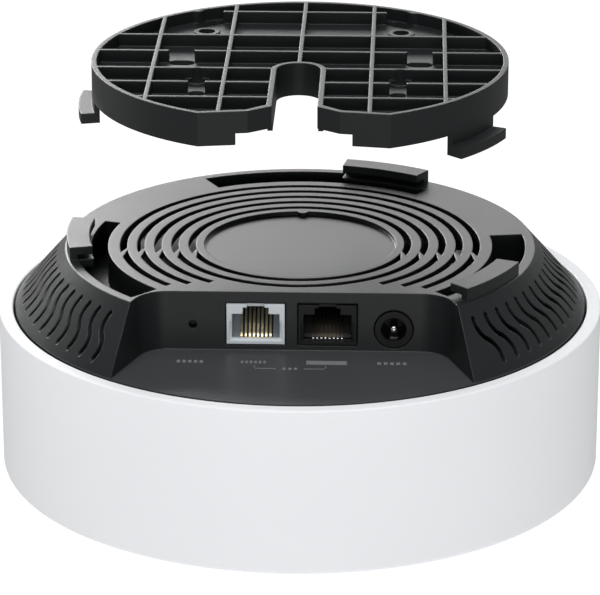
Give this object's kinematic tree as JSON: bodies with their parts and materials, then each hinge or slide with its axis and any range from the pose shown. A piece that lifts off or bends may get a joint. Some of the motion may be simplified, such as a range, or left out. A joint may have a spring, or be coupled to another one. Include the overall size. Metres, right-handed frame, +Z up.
{
  "type": "ceiling access point",
  "caption": "Round ceiling wireless access point with a recessed port bay, lowered below its three-tab twist-lock ceiling bracket.",
  "frame": {"origin": "centre of the bracket's ceiling face, in the plane of its rib tops", "axes": "+Z up into the ceiling, -Y towards the port recess, +X to the right as seen from the ports"},
  "size_m": [0.154, 0.154, 0.107],
  "materials": {
    "bracket_abs": "fine matt moulded texture",
    "white_abs": "smooth satin moulded",
    "black_abs": "fine matt moulded texture",
    "board": "solder mask",
    "light_nylon": "moulded nylon",
    "dark_nylon": "moulded nylon",
    "gold_contact": "gold plated",
    "nickel_pin": "nickel plated",
    "epoxy": "moulded epoxy",
    "can_aluminium": "mill finish",
    "carrier_abs": "moulded",
    "led": "moulded package",
    "clear_pc": "polished, milky clear",
    "screw_steel": "zinc plated",
    "tin_can": "tinned sheet",
    "thermal_pad": "soft pad",
    "antenna_brass": "stamped sheet",
    "lead_jacket": "extruded jacket"
  },
  "bodies": {
    "bracket": {"bracket_plate": "bracket_abs"},
    "lifting_lens": {"status_lens": "clear_pc"},
    "turning_light_pipe": {"light_pipe": "clear_pc"},
    "access_point": {"front_cover": "white_abs", "back_cover": "black_abs", "main_board": "board", "light_jack": "light_nylon", "light_jack_contacts": "gold_contact", "dark_jack": "dark_nylon", "dark_jack_contacts": "gold_contact", "power_jack_body": "dark_nylon", "power_jack_pin": "nickel_pin", "power_jack_spring": "nickel_pin", "reset_switch_body": "dark_nylon", "network_filter_1": "epoxy", "network_filter_2": "epoxy", "converter_transformer": "epoxy", "power_coil_1": "epoxy", "power_coil_2": "epoxy", "memory_chip_1": "epoxy", "memory_chip_2": "epoxy", "power_capacitor_1": "can_aluminium", "power_capacitor_2": "can_aluminium", "power_capacitor_3": "can_aluminium", "heat_spreader": "can_aluminium", "antenna_carrier": "carrier_abs", "status_led": "led", "board_screws": "screw_steel", "carrier_screws": "screw_steel", "processor_can": "tin_can", "processor_chip": "epoxy", "processor_chip_pad": "thermal_pad", "processor_spreader_pad": "thermal_pad", "radio_low_can": "tin_can", "radio_low_chip": "epoxy", "radio_low_chip_pad": "thermal_pad", "radio_low_spreader_pad": "thermal_pad", "radio_high_can": "tin_can", "radio_high_chip": "epoxy", "radio_high_chip_pad": "thermal_pad", "radio_high_spreader_pad": "thermal_pad", "antenna_low_1": "antenna_brass", "antenna_low_2": "antenna_brass", "antenna_high_1": "antenna_brass", "antenna_high_2": "antenna_brass", "antenna_lead_1": "lead_jacket", "lead_connector_1": "antenna_brass", "antenna_lead_2": "lead_jacket", "lead_connector_2": "antenna_brass", "antenna_lead_3": "lead_jacket", "lead_connector_3": "antenna_brass", "antenna_lead_4": "lead_jacket", "lead_connector_4": "antenna_brass"},
    "reset_plunger": {"reset_button": "dark_nylon"}
  },
  "joints": [
    {"name": "lift", "type": "slide", "parent": "bracket", "child": "lifting_lens", "axis": [0, 0, 1], "range_m": [0, 0.0404]},
    {"name": "approach_turn", "type": "hinge", "parent": "lifting_lens", "child": "turning_light_pipe", "pos_m": [0, 0, 0], "axis": [0, 0, 1], "range_deg": [-29, 0]},
    {"name": "lock_twist", "type": "hinge", "parent": "turning_light_pipe", "child": "access_point", "pos_m": [0, 0, 0], "axis": [0, 0, 1], "range_deg": [0, 29]},
    {"name": "reset_press", "type": "slide", "parent": "access_point", "child": "reset_plunger", "axis": [0, 1, 0], "range_m": [0, 0.0003], "stiffness_N_per_m": 2000}
  ],
  "couplings": [
    {"joint": "approach_turn", "follows": "lift", "rad_per_m": -12.528}
  ]
}
